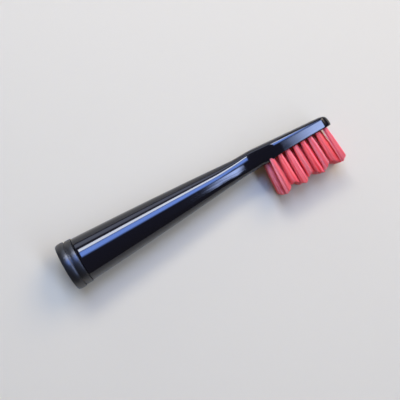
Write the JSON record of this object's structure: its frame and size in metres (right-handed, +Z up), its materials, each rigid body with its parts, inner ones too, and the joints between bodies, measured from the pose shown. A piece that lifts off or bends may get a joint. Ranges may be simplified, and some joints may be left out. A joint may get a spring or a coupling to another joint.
{
  "type": "electric toothbrush head",
  "caption": "Replacement head for a powered toothbrush: black hollow tapered stem with a grooved base ring, slim head and rows of zigzag-trimmed red bristle tufts.",
  "frame": {"origin": "centre of the box that holds the head, on the surface that it lies on", "axes": "+X along the brush from the handle end to the tip, -Y the way the bristles point, +Z up from the surface; the brush lies on its ring, the side of its head and its bristle ends"},
  "size_m": [0.0816, 0.0196, 0.0135],
  "materials": {
    "gloss_black": "polished moulding",
    "satin_black": "satin moulding",
    "socket_grey": "plain moulding",
    "spring_steel": "bright strip",
    "anchor_metal": "bright wire",
    "bristle_red": "nylon filaments"
  },
  "bodies": {
    "root": {"brush_body": "gloss_black", "base_ring": "satin_black", "drive_socket": "socket_grey", "retaining_spring": "spring_steel", "tuft_anchors": "anchor_metal", "tuft_row1_1": "bristle_red", "tuft_row1_2": "bristle_red", "tuft_row1_3": "bristle_red", "tuft_row1_4": "bristle_red", "tuft_row1_5": "bristle_red", "tuft_row1_6": "bristle_red", "tuft_row1_7": "bristle_red", "tuft_row1_8": "bristle_red", "tuft_row2_1": "bristle_red", "tuft_row2_2": "bristle_red", "tuft_row2_3": "bristle_red", "tuft_row2_4": "bristle_red", "tuft_row2_5": "bristle_red", "tuft_row2_6": "bristle_red", "tuft_row2_7": "bristle_red", "tuft_row2_8": "bristle_red", "tuft_row3_1": "bristle_red", "tuft_row3_2": "bristle_red", "tuft_row3_3": "bristle_red", "tuft_row3_4": "bristle_red", "tuft_row3_5": "bristle_red", "tuft_row3_6": "bristle_red", "tuft_row3_7": "bristle_red", "tuft_row3_8": "bristle_red", "tuft_row4_1": "bristle_red", "tuft_row4_2": "bristle_red", "tuft_row4_3": "bristle_red", "tuft_row4_4": "bristle_red", "tuft_row4_5": "bristle_red", "tuft_row4_6": "bristle_red", "tuft_row4_7": "bristle_red", "tuft_row4_8": "bristle_red"}
  },
  "joints": []
}
